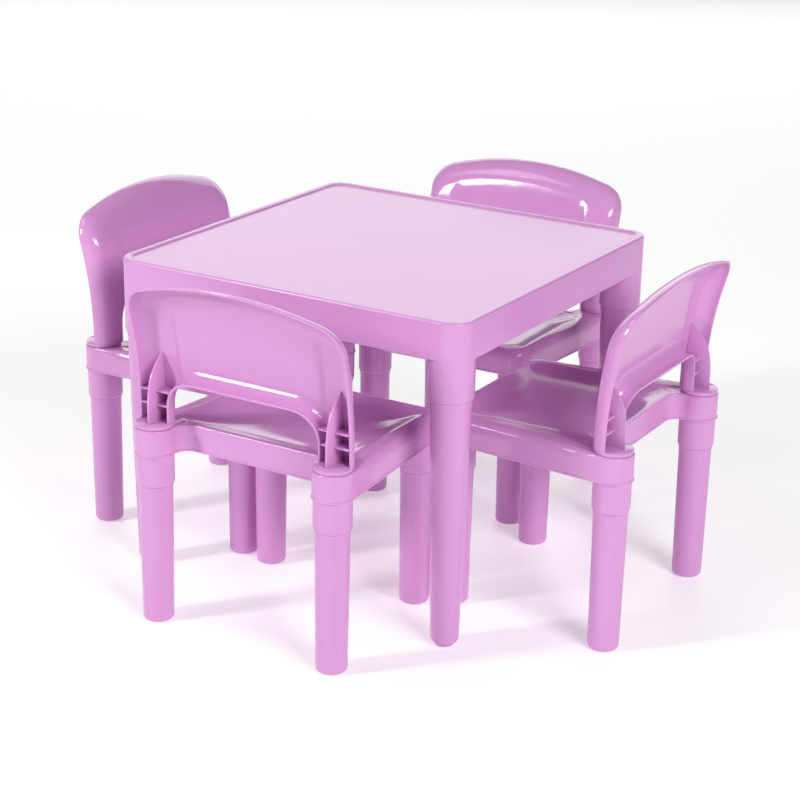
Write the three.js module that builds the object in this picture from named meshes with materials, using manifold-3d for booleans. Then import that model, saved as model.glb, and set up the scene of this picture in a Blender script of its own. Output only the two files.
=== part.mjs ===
// Children's table with four stacking chairs, all one-colour gloss moulded plastic.
// Millimetres, +Z up. The origin is on the floor under the middle of the whole set.
// -Y is the side of the front chair and +X the side of the right chair.
import * as THREE from 'three';
import { mergeVertices } from 'three/addons/utils/BufferGeometryUtils.js';
import Module from 'manifold-3d';

// Table
const TABLE_WIDTH = 510;
const TABLE_HEIGHT = 422;
const APRON_BOTTOM = 374.5;
const SHELL = 4;
const TOP_PLATE = 5;
const CORNER_R = 28;
const RIM_WIDTH = 13;
const RECESS = 2.2;
const POST_R = 28;
const POST_BOTTOM = 322;
const POST_BORE_R = 21;
const TABLE_LEG_TOP_R = 25;
const TABLE_LEG_FOOT_R = 17.8;
const TABLE_PEG_R = 12.5;
const TABLE_PEG_HEIGHT = 5;
const LEG_WALL = 3.5;
const LEG_FLOOR = 12;

// Chair: x across, y forward from the line of the rear legs, z up
const REAR_X = 130;
const FRONT_X = 112;
const FRONT_Y = 222;
const REAR_BOSS_R = 25;
const FRONT_CORNER_R = 24;
const LIP_Z = 223;
const SKIRT_TOP = 252;
const BOSS_TOP = 257.6;
const REAR_SKIRT_Y = 27;
const NECK_R = 18;
const SEAT_RIM = 256;
const SEAT_DISH = 8;
const SEAT_PLATE = 4;
const SEAT_WALL = 3;
const FRONT_DROOP = 5;
const SOCKET_R = 23.6;
const SOCKET_BOTTOM = 183;
const SOCKET_BORE_R = 19.6;
const SOCKET_BORE_TOP = 232;
const PEG_BORE_R = 14.3;
const PEG_BORE_BOTTOM = 238;
const CHAIR_LEG_TOP_R = 21.2;
const CHAIR_LEG_FOOT_R = 19.5;

// Backrest
const DISC_R = 25;
const DISC_HEIGHT = 5;
const PEG_R = 14;
const BACK_BOTTOM = 262;
const BACK_TOP = 454;
const BACK_HALF = 151;
const BACK_WALL = 3;
const BACK_CORNER_R = 40;
const BACK_CORNER_SWEEP = 73;
const BACK_CROWN = 19;
const BACK_DEPTH = 26.5;
const PANEL_DEPTH = 24;
const FRONT_LEAN = 32;
const FRONT_LEAN_POWER = 1.8;
const RIM_LEAN = 36;
const RIM_LEAN_POWER = 1.25;
const POST_HALF = 22;
const ARCH_HALF = 111.5;
const ARCH_TOP = 318.5;
const ARCH_R = 39;
const FIN_THICKNESS = 3;
const SHELF_THICKNESS = 2.5;
const SHELF_HEIGHTS = [283, 301];

// Clearance between pieces that touch
const GAP = 0.3;

// Middle of the table top
const TABLE_X = -14;
const TABLE_Y = -8.1;

// Where each chair stands: centre of its rear-leg line, and its turn about Z in degrees
const CHAIRS = {
  front: { x: 5.1, y: -369.9, turn: 0.2 },
  right: { x: 378, y: -3, turn: 90.9 },
  back: { x: -24, y: 369.3, turn: 181.4 },
  left: { x: -378, y: -26, turn: -90.8 },
};

const wasm = await Module();
wasm.setup();

const plastic = (name, colour, roughness) =>
  new THREE.MeshStandardMaterial({ name, color: colour, roughness, metalness: 0 });

function toSolid(geometry) {
  const plain = geometry.clone();
  plain.deleteAttribute('normal');
  plain.deleteAttribute('uv');
  const merged = mergeVertices(plain, 1e-4);
  return new wasm.Manifold(new wasm.Mesh({
    numProp: 3,
    vertProperties: Float32Array.from(merged.attributes.position.array),
    triVerts: Uint32Array.from(merged.index.array),
  }));
}

function toGeometry(solid) {
  const mesh = solid.getMesh();
  const geometry = new THREE.BufferGeometry();
  geometry.setAttribute('position', new THREE.BufferAttribute(mesh.vertProperties, 3));
  geometry.setIndex(new THREE.BufferAttribute(mesh.triVerts, 1));
  geometry.computeVertexNormals();
  return geometry;
}

const union = (solids) => solids.reduce((all, solid) => all.add(solid));

// Flat outline in XY raised from z0 to z1
function prism(points, z0, z1, hole = null) {
  const shape = new THREE.Shape(points);
  if (hole) shape.holes.push(new THREE.Path(hole));
  const geometry = new THREE.ExtrudeGeometry(shape, { depth: z1 - z0, bevelEnabled: false });
  geometry.translate(0, 0, z0);
  return toSolid(geometry);
}

function cylinder(x, y, radius, z0, z1, segments = 16) {
  const geometry = new THREE.CylinderGeometry(radius, radius, z1 - z0, segments);
  geometry.rotateX(Math.PI / 2);
  geometry.rotateZ(Math.PI / 2);
  geometry.translate(x, y, (z0 + z1) / 2);
  return toSolid(geometry);
}

function lathe(profile, segments) {
  const points = profile.map(([r, z]) => new THREE.Vector2(r, z));
  const geometry = new THREE.LatheGeometry(points, segments);
  geometry.rotateX(Math.PI / 2);
  return toGeometry(toSolid(geometry));
}

function arc(cx, cy, radius, fromDeg, toDeg, steps) {
  return Array.from({ length: steps + 1 }, (_, i) => {
    const angle = THREE.MathUtils.degToRad(fromDeg + (toDeg - fromDeg) * i / steps);
    return new THREE.Vector2(cx + radius * Math.cos(angle), cy + radius * Math.sin(angle));
  });
}

const mirrored = (points) => points.map((p) => new THREE.Vector2(-p.x, p.y)).reverse();

function roundedSquare(width, radius) {
  const c = width / 2 - radius;
  return [
    ...arc(c, c, radius, 0, 90, 6),
    ...arc(-c, c, radius, 90, 180, 6),
    ...arc(-c, -c, radius, 180, 270, 6),
    ...arc(c, -c, radius, 270, 360, 6),
  ];
}

// ---------------------------------------------------------------- table

const legOffset = TABLE_WIDTH / 2 - POST_R;
const CORNERS = {
  front_right: [1, -1],
  front_left: [-1, -1],
  back_left: [-1, 1],
  back_right: [1, 1],
};

function tableTop() {
  let solid = prism(roundedSquare(TABLE_WIDTH, CORNER_R), APRON_BOTTOM, TABLE_HEIGHT);
  const hollow = roundedSquare(TABLE_WIDTH - 2 * SHELL, CORNER_R - SHELL);
  solid = solid.subtract(prism(hollow, APRON_BOTTOM - 1, TABLE_HEIGHT - RECESS - TOP_PLATE));
  const field = roundedSquare(TABLE_WIDTH - 2 * RIM_WIDTH, CORNER_R - RIM_WIDTH + 3);
  solid = solid.subtract(prism(field, TABLE_HEIGHT - RECESS, TABLE_HEIGHT + 1));
  for (const [sx, sy] of Object.values(CORNERS)) {
    const x = sx * legOffset;
    const y = sy * legOffset;
    solid = solid.add(cylinder(x, y, POST_R, POST_BOTTOM, TABLE_HEIGHT - RECESS - 1, 24));
    solid = solid.subtract(cylinder(x, y, POST_BORE_R, POST_BOTTOM - 1, TABLE_HEIGHT - 18, 24));
  }
  return toGeometry(solid);
}

// Legs are hollow, closed at the foot and open at the top of the spigot
const tableLeg = () => lathe([
  [0, 0],
  [TABLE_PEG_R - 1, 0],
  [TABLE_PEG_R, 1],
  [TABLE_PEG_R, TABLE_PEG_HEIGHT],
  [TABLE_LEG_FOOT_R - 2.5, TABLE_PEG_HEIGHT + 0.5],
  [TABLE_LEG_FOOT_R - 0.6, TABLE_PEG_HEIGHT + 2.5],
  [TABLE_LEG_FOOT_R, TABLE_PEG_HEIGHT + 6],
  [TABLE_LEG_TOP_R, POST_BOTTOM - GAP],
  [POST_BORE_R - GAP, POST_BOTTOM - GAP],
  [POST_BORE_R - GAP - 0.5, TABLE_HEIGHT - 22],
  [POST_BORE_R - GAP - LEG_WALL, TABLE_HEIGHT - 22],
  [TABLE_LEG_FOOT_R - LEG_WALL, LEG_FLOOR],
  [0, LEG_FLOOR],
], 20);

// ---------------------------------------------------------------- chair seat and legs

// Plan outline of the seat drawn in by a distance from its outer face
function seatOutline(inset) {
  const boss = REAR_BOSS_R - inset;
  const neck = NECK_R + inset;
  const rearY = REAR_SKIRT_Y + inset;
  const neckY = rearY - neck;
  const neckX = REAR_X - Math.sqrt((boss + neck) ** 2 - neckY ** 2);
  const neckEnd = THREE.MathUtils.radToDeg(Math.atan2(-neckY, REAR_X - neckX));
  const tilt = THREE.MathUtils.radToDeg(Math.atan2(REAR_X - FRONT_X, FRONT_Y));
  const half = [
    ...arc(neckX, neckY, neck, 90, neckEnd, 3),
    ...arc(REAR_X, 0, boss, neckEnd + 180, 360 + tilt, 8).slice(1),
    ...arc(FRONT_X, FRONT_Y, FRONT_CORNER_R - inset, tilt, 90, 4),
  ];
  return [...half, ...mirrored(half)];
}

// Height of the sitting face: lowest in the middle, rolling down at the front
function seatHeight(x, y) {
  const across = Math.max(0, 1 - (x / 138) ** 2);
  const along = Math.max(0, 1 - ((y - 134) / 106) ** 2);
  const front = THREE.MathUtils.smoothstep(y, 190, 250);
  return SEAT_RIM - SEAT_DISH * across * along - FRONT_DROOP * front;
}

// Closed slab of even thickness under the sitting face, larger than the seat all round
function seatSlab() {
  const nx = 6;
  const ny = 6;
  const x0 = -160;
  const y0 = -30;
  const dx = 320 / nx;
  const dy = 282 / ny;
  const position = [];
  for (const drop of [0, SEAT_PLATE]) {
    for (let j = 0; j <= ny; j += 1) {
      for (let i = 0; i <= nx; i += 1) {
        const x = x0 + i * dx;
        const y = y0 + j * dy;
        position.push(x, y, seatHeight(x, y) - drop);
      }
    }
  }
  const layer = (nx + 1) * (ny + 1);
  const at = (i, j) => j * (nx + 1) + i;
  const index = [];
  const quad = (a, b, c, d) => index.push(a, b, c, a, c, d);
  for (let j = 0; j < ny; j += 1) {
    for (let i = 0; i < nx; i += 1) {
      const [a, b, c, d] = [at(i, j), at(i + 1, j), at(i + 1, j + 1), at(i, j + 1)];
      quad(a, b, c, d);
      quad(layer + d, layer + c, layer + b, layer + a);
    }
  }
  const border = [];
  for (let i = 0; i < nx; i += 1) border.push(at(i, 0));
  for (let j = 0; j < ny; j += 1) border.push(at(nx, j));
  for (let i = nx; i > 0; i -= 1) border.push(at(i, ny));
  for (let j = ny; j > 0; j -= 1) border.push(at(0, j));
  border.forEach((a, k) => {
    const b = border[(k + 1) % border.length];
    quad(layer + a, layer + b, b, a);
  });
  const geometry = new THREE.BufferGeometry();
  geometry.setAttribute('position', new THREE.Float32BufferAttribute(position, 3));
  geometry.setIndex(index);
  return toSolid(geometry);
}

const LEG_SPOTS = {
  rear_left: [-REAR_X, 0],
  rear_right: [REAR_X, 0],
  front_left: [-FRONT_X, FRONT_Y],
  front_right: [FRONT_X, FRONT_Y],
};

function chairSeat() {
  const outer = seatOutline(0);
  let solid = seatSlab().intersect(prism(outer, LIP_Z, BOSS_TOP + 10));
  solid = solid.add(prism(outer, LIP_Z, SKIRT_TOP - 3, seatOutline(SEAT_WALL)));
  for (const [x, y] of Object.values(LEG_SPOTS)) {
    solid = solid.add(cylinder(x, y, SOCKET_R, SOCKET_BOTTOM, SKIRT_TOP - 4));
  }
  for (const x of [-REAR_X, REAR_X]) {
    solid = solid.add(cylinder(x, 0, REAR_BOSS_R - 0.2, SKIRT_TOP - 5, BOSS_TOP));
    solid = solid.subtract(cylinder(x, 0, PEG_BORE_R, PEG_BORE_BOTTOM, BOSS_TOP + 1));
  }
  for (const [x, y] of Object.values(LEG_SPOTS)) {
    solid = solid.subtract(cylinder(x, y, SOCKET_BORE_R, SOCKET_BOTTOM - 1, SOCKET_BORE_TOP));
  }
  return toGeometry(solid);
}

const chairLeg = () => lathe([
  [0, 0],
  [CHAIR_LEG_FOOT_R - 4.5, 0],
  [CHAIR_LEG_FOOT_R - 1.2, 1.2],
  [CHAIR_LEG_FOOT_R, 4.5],
  [CHAIR_LEG_TOP_R, SOCKET_BOTTOM - GAP],
  [SOCKET_BORE_R - GAP, SOCKET_BOTTOM - GAP],
  [SOCKET_BORE_R - GAP - 0.5, SOCKET_BORE_TOP - 2],
  [SOCKET_BORE_R - GAP - LEG_WALL, SOCKET_BORE_TOP - 2],
  [CHAIR_LEG_FOOT_R - LEG_WALL, LEG_FLOOR],
  [0, LEG_FLOOR],
], 16);

// ---------------------------------------------------------------- chair backrest

// Depth at a height, for a given share of the way from the rear rim to the panel's front.
// Both lean back towards the top, the rim sooner than the panel
function leaning(z, share) {
  const rise = Math.max(0, (z - BACK_BOTTOM) / (BACK_TOP - BACK_BOTTOM));
  const rim = 3 - RIM_LEAN * rise ** RIM_LEAN_POWER;
  const front = PANEL_DEPTH - 2 - FRONT_LEAN * rise ** FRONT_LEAN_POWER;
  return rim + (front - rim) * share;
}

// Points up the left side, over the crowned top and down the right side
function backOutline(inset) {
  const half = BACK_HALF - inset;
  const radius = Math.max(BACK_CORNER_R - 0.8 * inset, 8);
  const top = BACK_TOP - 0.62 * inset - BACK_CROWN;
  const right = [];
  for (let i = 0; i <= 4; i += 1) {
    const z = BACK_BOTTOM + (top - radius - BACK_BOTTOM) * i / 4;
    right.push(new THREE.Vector2(half, z));
  }
  right.push(...arc(half - radius, top - radius, radius, 0, BACK_CORNER_SWEEP, 4).slice(1));
  const last = right[right.length - 1];
  for (let i = 1; i <= 3; i += 1) {
    const x = last.x * (1 - i / 3);
    const rise = 1 - (x / last.x) ** 2;
    right.push(new THREE.Vector2(x, last.y + BACK_CROWN * rise));
  }
  return [...mirrored(right.slice(0, -1)).reverse(), ...right.reverse()];
}

// Inset and depth of the shell from its rear rim to the panel, outside then inside
const OUTER_PROFILE = [[0, 0], [0.5, 9], [4, 17.5], [11, 24], [22, BACK_DEPTH], [50, PANEL_DEPTH]];
const INNER_PROFILE = [[BACK_WALL, 0], [3.5, 8.5], [6.5, 15.5], [12.5, 21], [22, 23.5], [50, 21]];

function backShell() {
  const ring = ([inset, depth]) =>
    backOutline(inset).map((p) => [p.x, leaning(p.y, depth / PANEL_DEPTH), p.y]);
  const outer = OUTER_PROFILE.map(ring);
  const inner = INNER_PROFILE.map(ring);
  const rings = [...outer, ...inner];
  const count = outer[0].length;
  const depth = outer.length;
  const position = rings.flat(2);
  const at = (k, i) => k * count + i;
  const index = [];
  const quad = (a, b, c, d) => index.push(a, b, c, a, c, d);
  for (let i = 0; i < count - 1; i += 1) {
    for (let k = 0; k < depth - 1; k += 1) {
      quad(at(k, i), at(k, i + 1), at(k + 1, i + 1), at(k + 1, i));
      quad(at(depth + k, i + 1), at(depth + k, i),
        at(depth + k + 1, i), at(depth + k + 1, i + 1));
    }
    quad(at(0, i + 1), at(0, i), at(depth, i), at(depth, i + 1));
  }
  const last = count - 1;
  for (let i = 0; i < last / 2 - 1; i += 1) {
    quad(at(depth - 1, i), at(depth - 1, i + 1),
      at(depth - 1, last - i - 1), at(depth - 1, last - i));
    quad(at(2 * depth - 1, i + 1), at(2 * depth - 1, i), at(2 * depth - 1, last - i),
      at(2 * depth - 1, last - i - 1));
  }
  const middle = last / 2;
  index.push(at(depth - 1, middle - 1), at(depth - 1, middle), at(depth - 1, middle + 1));
  index.push(at(2 * depth - 1, middle), at(2 * depth - 1, middle - 1),
    at(2 * depth - 1, middle + 1));
  for (let k = 0; k < depth - 1; k += 1) {
    quad(at(k, 0), at(k + 1, 0), at(depth + k + 1, 0), at(depth + k, 0));
    quad(at(k + 1, last), at(k, last), at(depth + k, last), at(depth + k + 1, last));
  }
  quad(at(depth - 1, 0), at(depth - 1, last), at(2 * depth - 1, last), at(2 * depth - 1, 0));
  const geometry = new THREE.BufferGeometry();
  geometry.setAttribute('position', new THREE.Float32BufferAttribute(position, 3));
  geometry.setIndex(index);
  return toSolid(geometry);
}

// Arched outline in XZ, then turned so that it runs along Y from y0 to y1
function archPrism(half, top, radius, y0, y1) {
  const right = [
    new THREE.Vector2(half, BACK_BOTTOM - 4),
    ...arc(half - radius, top - radius, radius, 0, 90, 6),
  ];
  const solid = prism([...right, ...mirrored(right)], 0, y1 - y0);
  return solid.rotate([90, 0, 0]).translate([0, y1, 0]);
}

// Side view of the upright fin behind each post, as [y, z]
const FIN = [[22, 260], [19, 346], [5, 339], [-4, 329], [-10, 318], [-13.5, 305], [-14.5, 290],
  [-13.5, 260]].map(([y, z]) => new THREE.Vector2(y, z));
// Plan of the shelves that cross the fin, as far back as the rear rim
const SHELF = arc(0, 0, 1, 0, 180, 10).map((p) => new THREE.Vector2(p.x * 20.5, p.y * 22.5 - 1));

function backrest() {
  let solid = backShell();
  solid = solid.subtract(archPrism(ARCH_HALF, ARCH_TOP, ARCH_R, -60, 60));
  const band = archPrism(ARCH_HALF, ARCH_TOP, ARCH_R, 8, 20.5)
    .subtract(archPrism(ARCH_HALF - BACK_WALL, ARCH_TOP - BACK_WALL, ARCH_R - BACK_WALL, 0, 30));
  solid = solid.add(band);
  for (const side of [-1, 1]) {
    const x = side * REAR_X;
    solid = solid.add(cylinder(x, 0, DISC_R, BOSS_TOP + GAP, BOSS_TOP + GAP + DISC_HEIGHT));
    solid = solid.add(cylinder(x, 0, PEG_R, PEG_BORE_BOTTOM + GAP, BOSS_TOP + 1));
    const centre = side * (BACK_HALF - POST_HALF);
    for (const z of SHELF_HEIGHTS) {
      solid = solid.add(prism(SHELF, z, z + SHELF_THICKNESS).translate([centre, 0, 0]));
    }
    const fin = prism(FIN, -FIN_THICKNESS / 2, FIN_THICKNESS / 2);
    solid = solid.add(fin.rotate([90, 0, 90]).translate([centre, 0, 0]));
  }
  return toGeometry(solid);
}

// ---------------------------------------------------------------- assembly

const LILAC = '#d79ad6';
const LILAC_TOP = '#e3b6e0';
const LILAC_LEG = '#cf93cf';

const set = new THREE.Group();
set.name = 'kids_table_and_chairs';

function addMesh(parent, name, geometry, material) {
  const mesh = new THREE.Mesh(geometry, material);
  mesh.name = name;
  parent.add(mesh);
  return mesh;
}

const table = new THREE.Group();
table.name = 'table';
table.position.set(TABLE_X, TABLE_Y, 0);
addMesh(table, 'table_top', tableTop(), plastic('table_top_gloss', LILAC_TOP, 0.28));
for (const [corner, [sx, sy]] of Object.entries(CORNERS)) {
  const name = `table_leg_${corner}`;
  const leg = addMesh(table, name, tableLeg(), plastic(`${name}_gloss`, LILAC_LEG, 0.3));
  leg.position.set(sx * legOffset, sy * legOffset, 0);
}
set.add(table);

for (const [side, place] of Object.entries(CHAIRS)) {
  const chair = new THREE.Group();
  chair.name = `${side}_chair`;
  chair.position.set(place.x, place.y, 0);
  chair.rotation.z = THREE.MathUtils.degToRad(place.turn);
  const seat = `${side}_chair_seat`;
  const back = `${side}_chair_backrest`;
  addMesh(chair, seat, chairSeat(), plastic(`${seat}_gloss`, LILAC, 0.25));
  addMesh(chair, back, backrest(), plastic(`${back}_gloss`, LILAC, 0.25));
  for (const [spot, [x, y]] of Object.entries(LEG_SPOTS)) {
    const name = `${side}_chair_leg_${spot}`;
    const leg = addMesh(chair, name, chairLeg(), plastic(`${name}_gloss`, LILAC_LEG, 0.3));
    leg.position.set(x, y, 0);
  }
  set.add(chair);
}

export default set;
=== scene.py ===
"""Children's table with four stacking chairs, all in one glossy lilac moulded plastic."""
import math

import bmesh
import bpy
from mathutils import Matrix, Vector


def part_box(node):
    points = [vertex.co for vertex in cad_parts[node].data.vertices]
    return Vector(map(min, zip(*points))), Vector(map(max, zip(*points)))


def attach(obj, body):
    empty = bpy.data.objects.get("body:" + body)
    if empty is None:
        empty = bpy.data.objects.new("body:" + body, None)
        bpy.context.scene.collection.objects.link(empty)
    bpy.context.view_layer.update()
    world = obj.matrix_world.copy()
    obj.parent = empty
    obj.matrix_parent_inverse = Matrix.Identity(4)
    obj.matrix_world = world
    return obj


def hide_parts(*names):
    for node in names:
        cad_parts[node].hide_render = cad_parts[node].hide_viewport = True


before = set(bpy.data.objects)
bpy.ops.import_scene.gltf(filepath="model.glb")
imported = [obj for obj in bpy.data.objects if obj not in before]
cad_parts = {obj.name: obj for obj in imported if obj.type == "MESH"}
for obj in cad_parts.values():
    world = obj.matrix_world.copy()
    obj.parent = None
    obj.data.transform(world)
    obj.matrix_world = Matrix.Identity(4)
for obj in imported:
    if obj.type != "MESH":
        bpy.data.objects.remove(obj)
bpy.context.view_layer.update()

# ---------------------------------------------------------------- sizes, in metres

TABLE_WIDTH = 0.510
TABLE_HEIGHT = 0.422
APRON_BOTTOM = 0.3745
APRON_WALL = 0.004
CORNER_R = 0.028
CORNER_STEPS = 24
RIM_WIDTH = 0.0105
RIM_SLOPE = 0.0016
FIELD_DROP = 0.0024
OUTER_EDGE_R, INNER_EDGE_R = 0.0032, 0.0009
RIM_SEARCH = 0.004
PLATE_UNDERSIDE = 0.4148
POST_BOTTOM = 0.322
POST_AXIS = TABLE_WIDTH / 2 - CORNER_R
POST_WALL, POST_BORE_DEPTH = 0.005, 0.06
POST_INSET = 0.0012

REAR_X, FRONT_X, FRONT_Y = 0.130, 0.112, 0.222
BOSS_R, FRONT_R, NECK_R = 0.025, 0.024, 0.018
REAR_SKIRT_Y = 0.027
SEAT_RIM, BOSS_TOP = 0.256, 0.2576
SEAT_WALL = 0.003
SOCKET_R, SOCKET_BOTTOM, SOCKET_TOP = 0.0236, 0.183, 0.2460
SOCKET_WALL, SOCKET_DEPTH = 0.0022, 0.040
DISC_R, DISC_TOP = 0.0238, 0.2629

BACK_BOTTOM, BACK_TOP = 0.2615, 0.4566
BACK_HALF, BACK_CORNER_R, BACK_CROWN = 0.1535, 0.036, 0.0180
BACK_CORNER_SWEEP = 73
BACK_WALL = 0.003
PANEL_DEPTH, CREST_RISE = 0.0236, 0.0030
FRONT_LEAN, FRONT_LEAN_POWER = 0.031, 2.3
RIM_LEAN, RIM_LEAN_POWER = 0.038, 2.2
ROLL_WIDTH = 0.023
RIM_FOOT_Y, FRONT_FOOT_INSET = 0.002, 0.002
ARCH_HALF, ARCH_TOP, ARCH_R = 0.1085, 0.3195, 0.036
FIN_X = 0.129

SIDES = ("front", "right", "back", "left")
LEG_SPOTS = {
    "rear_left": (-REAR_X, 0.0),
    "rear_right": (REAR_X, 0.0),
    "front_left": (-FRONT_X, FRONT_Y),
    "front_right": (FRONT_X, FRONT_Y),
}
CORNERS = {
    "front_right": (1, -1),
    "front_left": (-1, -1),
    "back_left": (-1, 1),
    "back_right": (1, 1),
}


def middle(node):
    low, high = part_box(node)
    return (low + high) / 2


def table_place():
    centre = middle("table_top")
    return Matrix.Translation((centre.x, centre.y, 0))


def chair_place(side):
    """Where a chair stands, from its two rear legs."""
    left = middle(f"{side}_chair_leg_rear_left")
    right = middle(f"{side}_chair_leg_rear_right")
    centre = (left + right) / 2
    turn = math.atan2(right.y - left.y, right.x - left.x)
    return Matrix.Translation((centre.x, centre.y, 0)) @ Matrix.Rotation(turn, 4, "Z")


# ---------------------------------------------------------------- modelling helpers

def deselect_all():
    bpy.ops.object.select_all(action="DESELECT")


def work_on(piece):
    deselect_all()
    piece.select_set(True)
    bpy.context.view_layer.objects.active = piece


def start(piece_name):
    """Names the primitive that was just added, fixes its place in its mesh and opens it."""
    piece = bpy.context.object
    piece.name = piece_name
    piece.data.name = piece_name
    bpy.ops.object.transform_apply(location=True, rotation=True, scale=True)
    bpy.ops.object.mode_set(mode="EDIT")
    return piece


def stop():
    bpy.ops.object.mode_set(mode="OBJECT")


def pick(piece, kind, test):
    """Selects the vertices, edges or faces that pass the test."""
    bpy.ops.mesh.select_mode(type=kind)
    bpy.ops.mesh.select_all(action="DESELECT")
    mesh = bmesh.from_edit_mesh(piece.data)
    items = {"VERT": mesh.verts, "EDGE": mesh.edges, "FACE": mesh.faces}[kind]
    for item in items:
        if test(item):
            item.select_set(True)
    mesh.select_flush_mode()
    bmesh.update_edit_mesh(piece.data)


def at_height(z, slack=1e-5):
    """A test that passes what lies wholly at one height."""
    return lambda item: all(abs(v.co.z - z) < slack for v in item.verts)


def on_border(width, height, slack=2e-4):
    """A test for the outline edges of a rounded square of that width, at that height."""
    half = width / 2

    def test(edge):
        if not at_height(height)(edge) or len(edge.link_faces) != 2:
            return False
        return abs(edge.link_faces[0].normal.dot(edge.link_faces[1].normal)) < 0.99 and all(
            max(abs(v.co.x), abs(v.co.y)) > half - CORNER_R - slack for v in edge.verts
        )

    return test


def extrude(offset):
    bpy.ops.mesh.extrude_region_move(TRANSFORM_OT_translate={"value": offset})


def turned(piece_name, stations, segments=64, centre=(0, 0)):
    """A round piece raised from its lower end; each station is (height, radius)."""
    x, y = centre
    z, r = stations[0]
    bpy.ops.mesh.primitive_circle_add(
        vertices=segments, radius=r, location=(x, y, z), fill_type="NGON"
    )
    piece = start(piece_name)
    bpy.ops.mesh.select_all(action="SELECT")
    for height, radius in stations[1:]:
        extrude((0, 0, height - z))
        scale = radius / r
        bpy.ops.transform.resize(value=(scale, scale, 1), center_override=(x, y, height))
        z, r = height, radius
    bpy.ops.mesh.select_all(action="SELECT")
    bpy.ops.mesh.normals_make_consistent(inside=False)
    stop()
    return piece


def sheet_of(piece_name, columns, rows, place, closed=False):
    """A grid primitive whose points are put in place by column and row."""
    bpy.ops.mesh.primitive_grid_add(
        x_subdivisions=columns - 1, y_subdivisions=rows - 1, size=1, location=(0, 0, 0)
    )
    piece = start(piece_name)
    mesh = bmesh.from_edit_mesh(piece.data)
    for vertex in mesh.verts:
        column = round((vertex.co.x + 0.5) * (columns - 1))
        row = round((vertex.co.y + 0.5) * (rows - 1))
        vertex.co = place(column, row)
    bmesh.update_edit_mesh(piece.data)
    if closed:
        bpy.ops.mesh.select_all(action="SELECT")
        bpy.ops.mesh.remove_doubles(threshold=1e-6)
    stop()
    return piece


def join(pieces):
    deselect_all()
    for piece in pieces:
        piece.select_set(True)
    bpy.context.view_layer.objects.active = pieces[0]
    bpy.ops.object.join()
    return pieces[0]


def modify(piece, kind, **settings):
    work_on(piece)
    modifier = piece.modifiers.new(kind.lower(), kind)
    for name, value in settings.items():
        setattr(modifier, name, value)
    bpy.ops.object.modifier_apply(modifier=modifier.name)


def smooth(piece, degrees=32):
    work_on(piece)
    bpy.ops.object.shade_smooth_by_angle(angle=math.radians(degrees))


def smoothstep(value, low, high):
    t = min(1.0, max(0.0, (value - low) / (high - low)))
    return t * t * (3 - 2 * t)


def arc(cx, cy, radius, first, last, steps):
    """Points of an arc, angles in degrees."""
    points = []
    for i in range(steps + 1):
        angle = math.radians(first + (last - first) * i / steps)
        points.append((cx + radius * math.cos(angle), cy + radius * math.sin(angle)))
    return points


def line(start_point, end_point, steps):
    """Points from one end to just before the other."""
    return [
        tuple(a + (b - a) * i / steps for a, b in zip(start_point, end_point))
        for i in range(steps)
    ]


# ---------------------------------------------------------------- table

def make_table_top():
    thick = TABLE_HEIGHT - APRON_BOTTOM
    bpy.ops.mesh.primitive_cube_add(
        size=1,
        location=(0, 0, APRON_BOTTOM + thick / 2),
        scale=(TABLE_WIDTH, TABLE_WIDTH, thick),
    )
    top = start("table_top_shell")
    pick(top, "EDGE", lambda e: abs(e.verts[0].co.z - e.verts[1].co.z) > thick / 2)
    bpy.ops.mesh.bevel(offset=CORNER_R, segments=CORNER_STEPS, affect="EDGES")
    pick(top, "FACE", at_height(TABLE_HEIGHT))
    bpy.ops.mesh.inset(thickness=RIM_WIDTH)
    bpy.ops.mesh.inset(thickness=RIM_SLOPE, depth=-FIELD_DROP)
    pick(top, "FACE", at_height(APRON_BOTTOM))
    bpy.ops.mesh.inset(thickness=APRON_WALL)
    extrude((0, 0, PLATE_UNDERSIDE - APRON_BOTTOM))
    pick(top, "EDGE", on_border(TABLE_WIDTH, TABLE_HEIGHT))
    bpy.ops.mesh.bevel(offset=OUTER_EDGE_R, segments=5, affect="EDGES")
    pick(top, "EDGE", on_border(TABLE_WIDTH - 2 * RIM_WIDTH - RIM_SEARCH, TABLE_HEIGHT))
    bpy.ops.mesh.bevel(offset=INNER_EDGE_R, segments=2, affect="EDGES")
    stop()
    parts = [top]
    for corner, (sx, sy) in CORNERS.items():
        parts.append(make_post(f"table_post_{corner}", (sx * POST_AXIS, sy * POST_AXIS)))
    return join(parts)


def make_post(piece_name, centre):
    """A corner post: chamfered foot, and a bore from below for the leg."""
    r = CORNER_R
    x, y = centre
    post = turned(
        piece_name,
        [
            (POST_BOTTOM, r - 0.0020),
            (POST_BOTTOM + 0.0012, r - 0.0013),
            (POST_BOTTOM + 0.0040, r - 0.0002),
            (POST_BOTTOM + 0.0048, r),
            (APRON_BOTTOM, r),
            (APRON_BOTTOM + 1e-4, r - POST_INSET),
            (PLATE_UNDERSIDE + 0.001, r - POST_INSET),
        ],
        segments=4 * CORNER_STEPS,
        centre=centre,
    )
    work_on(post)
    bpy.ops.object.mode_set(mode="EDIT")
    pick(post, "FACE", at_height(POST_BOTTOM))
    bpy.ops.mesh.inset(thickness=POST_WALL)
    extrude((0, 0, POST_BORE_DEPTH))
    stop()
    return post


def make_table_leg():
    """Stepped foot, tapered shaft, flared head and the spigot that goes up into the post."""
    return turned(
        "table_leg",
        [
            (0.0, 0.0108),
            (0.0006, 0.0118),
            (0.0018, 0.0124),
            (0.0050, 0.0125),
            (0.0052, 0.0150),
            (0.0060, 0.0163),
            (0.0078, 0.0172),
            (0.0108, 0.0178),
            (0.1200, 0.0204),
            (0.2400, 0.0231),
            (0.3135, 0.0249),
            (0.3165, 0.0252),
            (0.3196, 0.0258),
            (0.3214, 0.0258),
            (0.3217, 0.0255),
            (0.3218, 0.0205),
            (0.3980, 0.0202),
        ],
        segments=72,
    )


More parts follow.
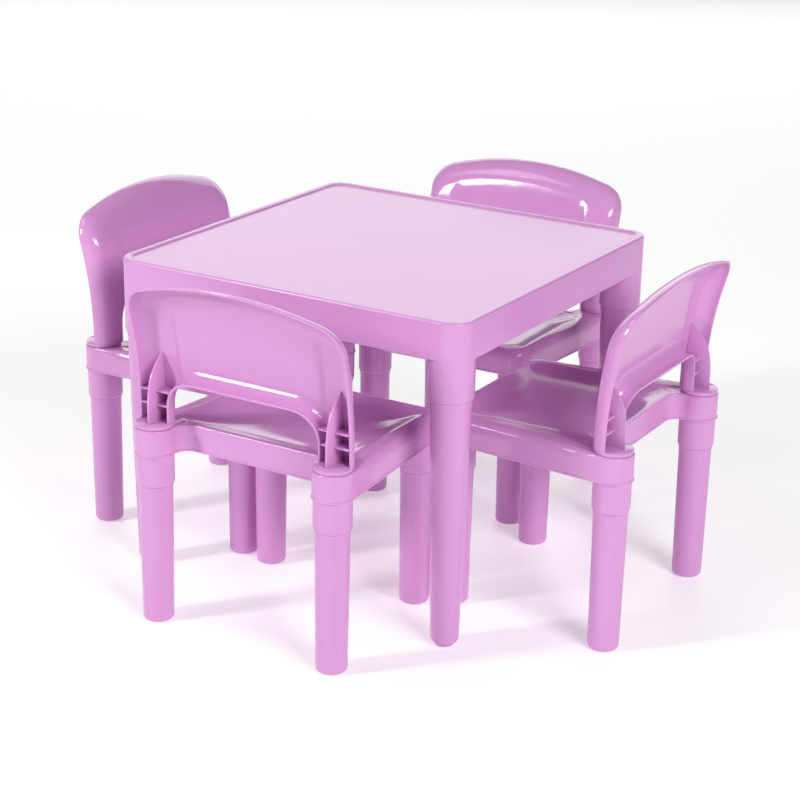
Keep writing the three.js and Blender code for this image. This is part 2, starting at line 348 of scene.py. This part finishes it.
# ---------------------------------------------------------------- chair seat

# Points along each stretch of the seat's half outline
EDGE_POINTS, NECK_POINTS, BOSS_POINTS, SIDE_POINTS, CORNER_POINTS = 14, 10, 30, 26, 14
NECK_Y = REAR_SKIRT_Y - NECK_R
NECK_X = REAR_X - math.sqrt((BOSS_R + NECK_R) ** 2 - NECK_Y ** 2)
NECK_END = math.degrees(math.atan2(-NECK_Y, REAR_X - NECK_X))
SIDE_TILT = math.degrees(math.atan2(REAR_X - FRONT_X, FRONT_Y))


def half_outline(inset):
    """Right half of the seat's plan, from the middle of the rear edge to that of the front."""
    rear = REAR_SKIRT_Y + inset
    boss, neck = BOSS_R - inset, NECK_R + inset
    front = FRONT_Y + FRONT_R - inset
    waist = arc(NECK_X, NECK_Y, neck, 90, NECK_END, NECK_POINTS)
    boss_arc = arc(REAR_X, 0, boss, NECK_END + 180, 360 + SIDE_TILT, BOSS_POINTS)
    corner = arc(FRONT_X, FRONT_Y, FRONT_R - inset, SIDE_TILT, 90, CORNER_POINTS)
    return (
        line((0, rear), waist[0], EDGE_POINTS)
        + waist
        + boss_arc[1:]
        + line(boss_arc[-1], corner[0], SIDE_POINTS)[1:]
        + corner
        + line(corner[-1], (0, front), EDGE_POINTS)[1:]
        + [(0, front)]
    )


# The sitting hollow: its rear and front edges, and the centres and radii of its corners
PAN_REAR_Y, PAN_FRONT_Y, PAN_MIDDLE_Y = 0.0335, 0.236, 0.136
PAN_REAR_X, PAN_REAR_R = 0.097, 0.022
PAN_FRONT_X, PAN_FRONT_R = 0.0985, 0.026


def half_pan():
    """Right half of the edge of the sitting hollow, matched point by point to the outline."""
    rear, front = PAN_REAR_Y, PAN_FRONT_Y
    rear_corner = arc(
        PAN_REAR_X, rear + PAN_REAR_R, PAN_REAR_R, -90, -2, NECK_POINTS + BOSS_POINTS - 1
    )
    corner = arc(PAN_FRONT_X, front - PAN_FRONT_R, PAN_FRONT_R, SIDE_TILT, 90, CORNER_POINTS)
    side_start = (PAN_FRONT_X + PAN_FRONT_R, rear + PAN_FRONT_R)
    return (
        line((0, rear), rear_corner[0], EDGE_POINTS)
        + rear_corner
        + [side_start]
        + line(side_start, corner[0], SIDE_POINTS)[1:]
        + corner
        + line(corner[-1], (0, front), EDGE_POINTS)[1:]
        + [(0, front)]
    )


def whole(half):
    """A half outline with its mirror image, as a closed run of points."""
    return half + [(-x, y) for x, y in reversed(half)]


# Skirt from the lip up: (inset, height)
SKIRT = [
    (0.0018, 0.2230), (-0.0002, 0.2230), (-0.0009, 0.2235), (-0.0011, 0.2244), (-0.0009, 0.2253),
    (-0.0002, 0.2259), (0.0, 0.2270), (0.0, 0.2330), (0.0, 0.2390), (0.0, 0.2440),
]
# Edge at the rear and the bosses, then the softer one of the sides and the front
CRISP_EDGE = [
    (0.0, 0.2500), (0.0, 0.2560), (0.0004, 0.2569), (0.0012, 0.2574), (0.0024, 0.25755),
    (0.0040, 0.2576),
]
SOFT_EDGE = [
    (0.0002, 0.2480), (0.0010, 0.2514), (0.0023, 0.2543), (0.0040, 0.2566), (0.0060, 0.2583),
    (0.0082, 0.2589),
]
# Where the crisp edge turns soft: on the flanks beyond FLANK_X, and along the front inside it
FLANK_X = 0.118
FLANK_SOFTENS, INNER_SOFTENS = (0.012, 0.050), (0.06, 0.10)
# The hollow's edge rises from the level of the rear to that of the sides and the front
SIDE_TOP, HOLLOW_DEPTH = 0.2590, 0.0083
EDGE_RISES, LEVEL_ENDS = (0.030, 0.085), (0.036, 0.075)
# How far outside the hollow's edge the level top of the seat ends, and its half width there
STEP_WIDTH, STEP_HALF = 0.0014, 0.12
# Share of the way in from the hollow's edge to its middle, and the depth there
HOLLOW = [
    (-0.005, 0.0), (0.0, 0.0), (0.012, 0.0001), (0.03, 0.0004), (0.06, 0.0011), (0.10, 0.0022),
    (0.15, 0.0035), (0.21, 0.0048), (0.28, 0.0060), (0.37, 0.0070), (0.48, 0.0077), (0.62, 0.0081),
    (0.78, 0.0083), (0.96, 0.0083),
]


def make_seat_shell():
    """The seat's outer sheet: one ring of points a row, from the skirt's lip to the hollow."""
    insets = {inset for inset, _ in SKIRT + CRISP_EDGE + SOFT_EDGE}
    outlines = {inset: whole(half_outline(inset)) for inset in insets}
    pan = whole(half_pan())
    count = len(pan)
    centre = Vector((0, PAN_MIDDLE_Y))
    skirt_rows, edge_rows = len(SKIRT), len(CRISP_EDGE)
    rows = skirt_rows + edge_rows + len(HOLLOW)

    def softness(index):
        x, y = outlines[0.0][index]
        return smoothstep(y, *(FLANK_SOFTENS if abs(x) > FLANK_X else INNER_SOFTENS))

    def place(column, row):
        index = column % count
        if row < skirt_rows:
            inset, z = SKIRT[row]
            x, y = outlines[inset][index]
        elif row < skirt_rows + edge_rows:
            crisp, soft = CRISP_EDGE[row - skirt_rows], SOFT_EDGE[row - skirt_rows]
            share = softness(index)
            cx, cy = outlines[crisp[0]][index]
            sx, sy = outlines[soft[0]][index]
            x, y = cx + (sx - cx) * share, cy + (sy - cy) * share
            z = crisp[1] + (soft[1] - crisp[1]) * share
        else:
            share, depth = HOLLOW[row - skirt_rows - edge_rows]
            px, py = pan[index]
            x = px + (centre.x - px) * share
            y = py + (centre.y - py) * share
            edge = SEAT_RIM + (SIDE_TOP - SEAT_RIM) * smoothstep(py, *EDGE_RISES)
            bottom = SEAT_RIM - HOLLOW_DEPTH
            z = edge - (edge - bottom) * depth / HOLLOW_DEPTH
            if share < 0:
                level = 1 - smoothstep(py, *LEVEL_ENDS)
                x += STEP_WIDTH * level * (px - centre.x) / STEP_HALF
                y -= STEP_WIDTH * level
                z += (BOSS_TOP - SEAT_RIM) * level
        return Vector((x, y, z))

    shell = sheet_of("chair_seat_shell", count + 1, rows, place, closed=True)
    work_on(shell)
    bpy.ops.object.mode_set(mode="EDIT")
    pick(shell, "EDGE", lambda e: len(e.link_faces) == 1 and e.verts[0].co.z > SKIRT[-1][1])
    bpy.ops.mesh.edge_face_add()
    bpy.ops.mesh.select_all(action="SELECT")
    bpy.ops.mesh.normals_make_consistent(inside=False)
    stop()
    return shell


def faces_up(piece, point, radius=0.03):
    """Whether the faces near a point of the piece look upwards."""
    near = [f for f in piece.data.polygons if (Vector(f.center) - Vector(point)).length < radius]
    return sum(f.normal.z for f in near) > 0


def flip(piece):
    work_on(piece)
    bpy.ops.object.mode_set(mode="EDIT")
    bpy.ops.mesh.select_all(action="SELECT")
    bpy.ops.mesh.flip_normals()
    stop()


def make_socket(spot):
    """The collar under a seat corner, bored from below for the leg."""
    x, y = LEG_SPOTS[spot]
    r = SOCKET_R
    socket = turned(
        f"chair_socket_{spot}",
        [
            (SOCKET_BOTTOM, r - 0.0016),
            (SOCKET_BOTTOM + 0.0010, r - 0.0010),
            (SOCKET_BOTTOM + 0.0034, r - 0.0001),
            (SOCKET_BOTTOM + 0.0042, r),
            (SOCKET_TOP, r + 0.0001),
        ],
        segments=64,
        centre=(x, y),
    )
    work_on(socket)
    bpy.ops.object.mode_set(mode="EDIT")
    pick(socket, "FACE", at_height(SOCKET_BOTTOM))
    bpy.ops.mesh.inset(thickness=SOCKET_WALL)
    extrude((0, 0, SOCKET_DEPTH))
    stop()
    return socket


def make_seat():
    shell = make_seat_shell()
    if not faces_up(shell, (0, PAN_MIDDLE_Y, SEAT_RIM - HOLLOW_DEPTH)):
        flip(shell)
    modify(shell, "SOLIDIFY", thickness=SEAT_WALL, offset=-1.0, use_even_offset=True)
    seat = join([shell] + [make_socket(spot) for spot in LEG_SPOTS])
    smooth(seat, 35)
    return seat


def make_chair_leg():
    """Rounded foot, slightly tapered shaft, a bead under the collar and the spigot."""
    return turned(
        "chair_leg",
        [
            (0.0, 0.0150),
            (0.0003, 0.0165),
            (0.0012, 0.0180),
            (0.0026, 0.0190),
            (0.0046, 0.01955),
            (0.0600, 0.0201),
            (0.1200, 0.0207),
            (0.1775, 0.0212),
            (0.1800, 0.0216),
            (0.1820, 0.0220),
            (0.1827, 0.0218),
            (0.1828, 0.0193),
            (0.2280, 0.0191),
        ],
        segments=64,
    )


# ---------------------------------------------------------------- chair backrest

def rise(z):
    """Share of the way up the backrest."""
    return max(0.0, (z - BACK_BOTTOM) / (BACK_TOP - BACK_BOTTOM))


def rim_plane(z):
    """Depth of the shell's rear rim, which leans back from the posts to the top."""
    return RIM_FOOT_Y - RIM_LEAN * rise(z) ** RIM_LEAN_POWER


def front_plane(z):
    """Depth of the panel's front, upright at the posts and leaning back later than the rim."""
    return PANEL_DEPTH - FRONT_FOOT_INSET - FRONT_LEAN * rise(z) ** FRONT_LEAN_POWER


# How fast the corner radius shrinks, and the top drops, as the outline is inset
CORNER_SHRINK, TOP_DROP = 0.8, 1.45


def back_outline(inset, steps):
    """Right half of the shell's outline in x and z, from the foot of the post to the top centre."""
    half = BACK_HALF - inset
    radius = BACK_CORNER_R - CORNER_SHRINK * inset
    top = BACK_TOP - TOP_DROP * inset - BACK_CROWN
    straight, bend, crown = steps
    points = line((half, BACK_BOTTOM), (half, top - radius), straight)
    points += arc(half - radius, top - radius, radius, 0, BACK_CORNER_SWEEP, bend)
    last_x, last_z = points[-1]
    for i in range(1, crown + 1):
        x = last_x * (1 - i / crown)
        points.append((x, last_z + BACK_CROWN * (1 - (x / last_x) ** 2)))
    return points


def arch_outline(steps):
    """Right half of the arch with the way out from its opening, matched to the shell's outline."""
    straight, bend, crown = steps
    arch_side = ARCH_TOP - ARCH_R - BACK_BOTTOM
    shell_side = BACK_TOP - BACK_CROWN - BACK_CORNER_R - BACK_BOTTOM
    level = round(straight * arch_side / shell_side)
    turn = straight + bend - level
    points = []
    for i in range(level):
        points.append((ARCH_HALF, BACK_BOTTOM + arch_side * i / level, 0.0))
    flat = ARCH_HALF - ARCH_R
    for i in range(turn + 1):
        angle = 90 * smoothstep_inverse(i / turn)
        a = math.radians(angle)
        x, z = flat + ARCH_R * math.cos(a), ARCH_TOP - ARCH_R + ARCH_R * math.sin(a)
        points.append((x, z, angle))
    for i in range(1, crown + 1):
        points.append((flat * (1 - i / crown), ARCH_TOP, 90.0))
    return points


def smoothstep_inverse(t):
    """The value between 0 and 1 that smoothstep takes to t."""
    return 0.5 - math.sin(math.asin(1 - 2 * t) / 3)


CREST_STEP, CREST_FADE = (0.098, 0.108), (0.385, 0.432)


def crest(x, z):
    """How far the side rolls stand proud of the panel: a soft step that fades near the top."""
    step = smoothstep(abs(x), *CREST_STEP)
    return CREST_RISE * step * (1 - smoothstep(z, *CREST_FADE))


# Quarter section of the roll from the rear rim to its crest: share of the width, share of the depth
ROLL_STEPS, ROLL_FULLNESS = 14, 0.88
ROLL = [
    (1 - math.cos(math.pi / 2 * i / ROLL_STEPS), math.sin(math.pi / 2 * i / ROLL_STEPS) ** ROLL_FULLNESS)
    for i in range(ROLL_STEPS + 1)
]
PANEL_ROWS = 30
FILLET_ROWS = 12
LIP_ROWS = 2
# Bend from the panel to the arch's edge, beside the posts and over the top, and that edge's depth
POST_BEND, TOP_BEND, LIP_END = 0.0165, 0.0205, -0.006


# Points up the side, around the corner and along the top of the half outline
BACK_STEPS = (34, 16, 26)


def make_back_shell():
    """The backrest's front sheet, row by row: rear rim, roll, panel, bend and arch edge."""
    steps = BACK_STEPS
    rings = [back_outline(ROLL_WIDTH * share, steps) for share, _ in ROLL]
    arch = arch_outline(steps)
    half = len(arch)
    columns = 2 * half - 1
    roll_rows = len(ROLL)
    rows = roll_rows + PANEL_ROWS + FILLET_ROWS + LIP_ROWS

    def place(column, row):
        mirror = 1 if column < half else -1
        index = column if column < half else columns - 1 - column
        ax, az, angle = arch[index]
        a = math.radians(angle)
        radius = POST_BEND + (TOP_BEND - POST_BEND) * smoothstep(angle, 0, 80)
        ox, oz = ax + radius * math.cos(a), az + radius * math.sin(a)
        front_y = front_plane(oz) + crest(ox, oz)
        if row < roll_rows:
            x, z = rings[row][index]
            rim_y = rim_plane(z)
            y = rim_y + (front_plane(z) + crest(x, z) - rim_y) * ROLL[row][1]
        elif row < roll_rows + PANEL_ROWS:
            share = (row - roll_rows + 1) / (PANEL_ROWS + 1)
            ex, ez = rings[-1][index]
            x, z = ex + (ox - ex) * share, ez + (oz - ez) * share
            y = front_plane(z) + crest(x, z)
        elif row < roll_rows + PANEL_ROWS + FILLET_ROWS:
            bend = math.radians(90 * (row - roll_rows - PANEL_ROWS) / (FILLET_ROWS - 1))
            out = radius * (1 - math.sin(bend))
            x, z = ax + out * math.cos(a), az + out * math.sin(a)
            y = front_y - radius * (1 - math.cos(bend))
        else:
            share = (row - roll_rows - PANEL_ROWS - FILLET_ROWS + 1) / LIP_ROWS
            end = LIP_END * smoothstep(angle, 0, 90)
            x, z = ax, az
            first = front_y - radius
            y = first + (min(end, first - 0.001) - first) * share
        return Vector((mirror * x, y, z))

    return sheet_of("chair_back_shell", columns, rows, place)


# Rounding of the cut edges of plates and sheets, and the angle beyond which an edge gets it
PLATE_EDGE_R, SHEET_EDGE_R, SHARP = 0.0005, 0.0007, math.radians(50)


def make_plate(piece_name, outline, thickness, facing):
    """A flat plate: its outline is traced by extruding a corner, filled and thickened."""
    bpy.ops.mesh.primitive_plane_add(size=0.001, location=(0, 0, 0))
    plate = start(piece_name)
    bpy.ops.mesh.select_mode(type="VERT")
    bpy.ops.mesh.select_all(action="SELECT")
    bpy.ops.mesh.merge(type="CENTER")
    bpy.ops.transform.translate(value=Vector(outline[0]))
    for here, there in zip(outline, outline[1:]):
        extrude(Vector(there) - Vector(here))
    bpy.ops.mesh.select_all(action="SELECT")
    bpy.ops.mesh.edge_face_add()
    extrude(Vector(facing) * thickness)
    bpy.ops.mesh.select_all(action="SELECT")
    bpy.ops.mesh.normals_make_consistent(inside=False)
    stop()
    modify(plate, "BEVEL", width=PLATE_EDGE_R, segments=2, limit_method="ANGLE", angle_limit=SHARP)
    return plate


FIN_EDGE = [
    (0.0215, 0.2600), (0.0205, 0.3000), (0.0190, 0.3300), (0.0175, 0.3490), (0.0150, 0.3470),
    (0.0110, 0.3432), (0.0065, 0.3390), (0.0020, 0.3345), (-0.0025, 0.3288), (-0.0062, 0.3230),
    (-0.0092, 0.3160), (-0.0112, 0.3080), (-0.0124, 0.3000), (-0.0132, 0.2920), (-0.0136, 0.2830),
    (-0.0136, 0.2600),
]
SHELF_HEIGHTS = (0.283, 0.301)
FIN_THICKNESS, SHELF_THICKNESS = 0.0028, 0.0024
SHELF_HALF, SHELF_REACH, SHELF_REAR = 0.0212, 0.0210, 0.0010


def make_fins():
    """In each post an upright fin, crossed by two shelves with a rounded front."""
    plates = []
    for side in (-1, 1):
        hand = "left" if side < 0 else "right"
        x = side * FIN_X
        fin = [(x - FIN_THICKNESS / 2, y, z) for y, z in FIN_EDGE]
        plates.append(make_plate(f"chair_fin_{hand}", fin, FIN_THICKNESS, (1, 0, 0)))
        for number, z in enumerate(SHELF_HEIGHTS):
            shelf = [
                (x + SHELF_HALF * cx, SHELF_REAR + SHELF_REACH * cy, z)
                for cx, cy in arc(0, 0, 1, 0, 180, 18)
            ]
            name = f"chair_shelf_{hand}_{number}"
            plates.append(make_plate(name, shelf, SHELF_THICKNESS, (0, 0, 1)))
    return plates


def make_disc(side):
    """The foot of a post: a disc on the seat's boss, with the peg that goes down into it."""
    r = DISC_R
    return turned(
        "chair_back_foot",
        [
            (BOSS_TOP - 0.012, 0.0140),
            (BOSS_TOP + 0.0003, 0.0142),
            (BOSS_TOP + 0.00035, r - 0.0008),
            (BOSS_TOP + 0.0010, r - 0.0002),
            (BOSS_TOP + 0.0018, r),
            (DISC_TOP - 0.0014, r),
            (DISC_TOP - 0.0005, r - 0.0004),
            (DISC_TOP, r - 0.0014),
        ],
        segments=64,
        centre=(side * REAR_X, 0),
    )


def make_backrest():
    shell = make_back_shell()
    front = [f for f in shell.data.polygons if abs(f.center.x) < 0.03 and 0.36 < f.center.z < 0.40]
    if sum(f.normal.y for f in front) < 0:
        flip(shell)
    modify(shell, "SOLIDIFY", thickness=BACK_WALL, offset=-1.0, use_even_offset=True)
    modify(shell, "BEVEL", width=SHEET_EDGE_R, segments=2, limit_method="ANGLE", angle_limit=SHARP)
    back = join([shell] + make_fins() + [make_disc(-1), make_disc(1)])
    smooth(back, 35)
    return back


# ---------------------------------------------------------------- plastic

class Link:
    """A shader socket that can stand in sums."""

    def __init__(self, plastic, socket):
        self.plastic, self.socket = plastic, socket

    def _sum(self, operation, first, second):
        return self.plastic.add("ShaderNodeMath", {"operation": operation}, {0: first, 1: second})

    def __add__(self, other):
        return self._sum("ADD", self, other)

    def __mul__(self, other):
        return self._sum("MULTIPLY", self, other)

    def __sub__(self, other):
        return self._sum("SUBTRACT", self, other)

    def __rsub__(self, other):
        return self._sum("SUBTRACT", other, self)

    __radd__ = __add__
    __rmul__ = __mul__


class Plastic:
    """One material, with a single way to add a node: its type, its settings, its inputs."""

    def __init__(self, name):
        self.material = bpy.data.materials.new(name)
        self.material.use_nodes = True
        self.tree = self.material.node_tree
        self.shader = self.tree.nodes["Principled BSDF"]

    def add(self, kind, settings, inputs, output=0):
        node = self.tree.nodes.new(kind)
        for name, value in settings.items():
            if name == "stops":
                ramp = node.color_ramp
                for stop_at, (place, colour) in enumerate(value):
                    step = ramp.elements[stop_at] if stop_at < 2 else ramp.elements.new(place)
                    step.position, step.color = place, colour
            else:
                setattr(node, name, value)
        for name, value in inputs.items():
            self.feed(node.inputs[name], value)
        return Link(self, node.outputs[output])

    def feed(self, socket, value):
        if isinstance(value, Link):
            self.tree.links.new(value.socket, socket)
        else:
            socket.default_value = value


# Height of the short ripples beside the long waves, and the index of refraction of the plastic
RIPPLE_SHARE, PLASTIC_IOR = 0.08, 1.49


def make_plastic(name, light, deep, gloss, grain, wave):
    """Moulded plastic: slow drift of colour, faint flow marks, a fine grain and slight waviness."""
    plastic = Plastic(name)
    place = plastic.add("ShaderNodeTexCoord", {}, {}, "Object")

    def noise(scale, detail, twist=0.0):
        return plastic.add(
            "ShaderNodeTexNoise", {"noise_dimensions": "3D"},
            {"Vector": place, "Scale": scale, "Detail": detail, "Distortion": twist}, "Fac",
        )

    drift = noise(7.0, 2.0)
    flow = noise(16.0, 3.0, 1.6)
    speck = noise(700.0, 2.0)
    cloud = noise(60.0, 4.0)
    # Sum of the three with its middle near one half
    tone = drift * 0.7 + flow * 0.5 + speck * 0.06 - 0.13
    colour = plastic.add(
        "ShaderNodeMix", {"data_type": "RGBA"}, {0: tone, 6: (*deep, 1), 7: (*light, 1)}, 2
    )
    scuffs = plastic.add(
        "ShaderNodeValToRGB", {"stops": [(0.56, (0, 0, 0, 1)), (0.74, (1, 1, 1, 1))]},
        {"Fac": noise(95.0, 6.0, 0.8)},
    )
    roughness = gloss + (cloud - 0.5) * 0.06 + (speck - 0.5) * 0.02 + scuffs * 0.03
    ripple = noise(28.0, 1.5) * wave + noise(120.0, 1.0) * wave * RIPPLE_SHARE
    height = ripple + noise(1400.0, 2.0) * grain
    bump = plastic.add("ShaderNodeBump", {}, {"Strength": 1.0, "Distance": 0.001, "Height": height})
    shader = plastic.shader
    plastic.feed(shader.inputs["Base Color"], colour)
    plastic.feed(shader.inputs["Roughness"], roughness)
    plastic.feed(shader.inputs["Normal"], bump)
    shader.inputs["IOR"].default_value = PLASTIC_IOR
    shader.inputs["Subsurface Weight"].default_value = 0.0
    return plastic.material


# ---------------------------------------------------------------- the set

def give(piece, material, body, node):
    piece.data.materials.clear()
    piece.data.materials.append(material)
    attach(piece, body)
    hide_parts(node)


def copy_to(model, piece_name, place):
    """A copy of a finished piece, with its own mesh, put in its place."""
    mesh = model.data.copy()
    mesh.name = piece_name
    mesh.transform(place)
    piece = bpy.data.objects.new(piece_name, mesh)
    bpy.context.scene.collection.objects.link(piece)
    return piece


deselect_all()

chair_plastic = make_plastic(
    "gloss_lilac", (0.668, 0.318, 0.640), (0.640, 0.290, 0.608), 0.13, 0.003, 0.30
)
leg_plastic = make_plastic(
    "leg_lilac", (0.655, 0.310, 0.630), (0.630, 0.285, 0.602), 0.20, 0.004, 0.22
)
table_plastic = make_plastic(
    "table_lilac", (0.668, 0.325, 0.645), (0.642, 0.298, 0.615), 0.24, 0.005, 0.12
)

top = make_table_top()
smooth(top, 30)
top.data.transform(table_place())
give(top, table_plastic, "table", "table_top")

leg_model = make_table_leg()
smooth(leg_model)
for corner, (sx, sy) in CORNERS.items():
    spot = table_place() @ Matrix.Translation((sx * POST_AXIS, sy * POST_AXIS, 0))
    leg = copy_to(leg_model, f"table_leg_{corner}_turned", spot)
    give(leg, leg_plastic, "table", f"table_leg_{corner}")
bpy.data.objects.remove(leg_model)

seat_model, back_model, chair_leg_model = make_seat(), make_backrest(), make_chair_leg()
smooth(chair_leg_model)
for side in SIDES:
    place = chair_place(side)
    body = f"{side}_chair"
    seat = copy_to(seat_model, f"{body}_seat_shell", place)
    give(seat, chair_plastic, body, f"{body}_seat")
    back = copy_to(back_model, f"{body}_back_shell", place)
    give(back, chair_plastic, body, f"{body}_backrest")
    for spot, (x, y) in LEG_SPOTS.items():
        leg = copy_to(chair_leg_model, f"{body}_leg_{spot}_turned", place @ Matrix.Translation((x, y, 0)))
        give(leg, leg_plastic, body, f"{body}_leg_{spot}")
for model in (seat_model, back_model, chair_leg_model):
    bpy.data.objects.remove(model)

# ---------------------------------------------------------------- floor, light and camera

FLOOR_SIZE, FLOOR_Z = 60, -0.0005
FLOOR_SHADE, FLOOR_GLOW, FLOOR_ROUGHNESS = (0.80, 0.80, 0.80, 1), 0.36, 0.55
WHITE, WORLD_STRENGTH = (1, 1, 1, 1), 0.14

bpy.ops.mesh.primitive_plane_add(size=FLOOR_SIZE, location=(0, 0, FLOOR_Z))
floor = bpy.context.object
floor.name = "studio_floor"
paper = Plastic("white_paper")
paper.shader.inputs["Base Color"].default_value = FLOOR_SHADE
paper.shader.inputs["Emission Color"].default_value = WHITE
paper.shader.inputs["Emission Strength"].default_value = FLOOR_GLOW
paper.shader.inputs["Roughness"].default_value = FLOOR_ROUGHNESS
floor.data.materials.append(paper.material)

world = bpy.data.worlds.new("studio")
bpy.context.scene.world = world
world.use_nodes = True
sky = world.node_tree.nodes["Background"]
sky.inputs["Color"].default_value = WHITE
sky.inputs["Strength"].default_value = WORLD_STRENGTH


def softbox(name, place, target, size, power):
    """A rectangular studio light that looks from its place at a target."""
    light = bpy.data.lights.new(name, "AREA")
    light.shape = "RECTANGLE"
    light.size, light.size_y = size
    light.energy = power
    lamp = bpy.data.objects.new(name, light)
    lamp.location = place
    lamp.rotation_mode = "QUATERNION"
    lamp.rotation_quaternion = (Vector(target) - Vector(place)).to_track_quat("-Z", "Y")
    bpy.context.scene.collection.objects.link(lamp)


softbox("key", (-1.9, -2.7, 1.9), (0, 0, 0.25), (0.45, 0.9), 64)
softbox("fill", (3.0, -1.5, 2.2), (0, 0, 0.25), (1.6, 1.2), 92)
softbox("backdrop", (-2.6, 4.2, 2.1), (0, 0, 0.4), (7.0, 2.8), 112)
softbox("overhead", (-1.3, -0.9, 2.6), (0, 0, 0.3), (1.0, 0.8), 9)

camera_data = bpy.data.cameras.new("camera")
camera = bpy.data.objects.new("camera", camera_data)
bpy.context.scene.collection.objects.link(camera)
bpy.context.scene.camera = camera
# Where the camera stands from the table's middle, which way it looks, and its lens
CAMERA_FROM_TABLE = (1.3419, -2.1839, 1.1262)
YAW, PITCH, ROLL_ANGLE = (math.radians(angle) for angle in (31.495, -19.646, 1.027))
SENSOR_WIDTH, FOCAL_LENGTH = 36, 91.094
SHIFT_X, SHIFT_Y = 0.01185, -0.0049

forward = Vector((-math.sin(YAW) * math.cos(PITCH), math.cos(YAW) * math.cos(PITCH), math.sin(PITCH)))
level_right = Vector((math.cos(YAW), math.sin(YAW), 0))
level_up = level_right.cross(forward)
right = level_right * math.cos(ROLL_ANGLE) + level_up * math.sin(ROLL_ANGLE)
up = level_up * math.cos(ROLL_ANGLE) - level_right * math.sin(ROLL_ANGLE)
turn = Matrix((right, up, -forward)).transposed().to_4x4()
camera.matrix_world = table_place() @ Matrix.Translation(CAMERA_FROM_TABLE) @ turn
camera_data.sensor_width = SENSOR_WIDTH
camera_data.lens = FOCAL_LENGTH
camera_data.shift_x, camera_data.shift_y = SHIFT_X, SHIFT_Y

view = bpy.context.scene.view_settings
view.view_transform = "Standard"
view.look = "None"
view.exposure = 0.0

bpy.context.view_layer.update()
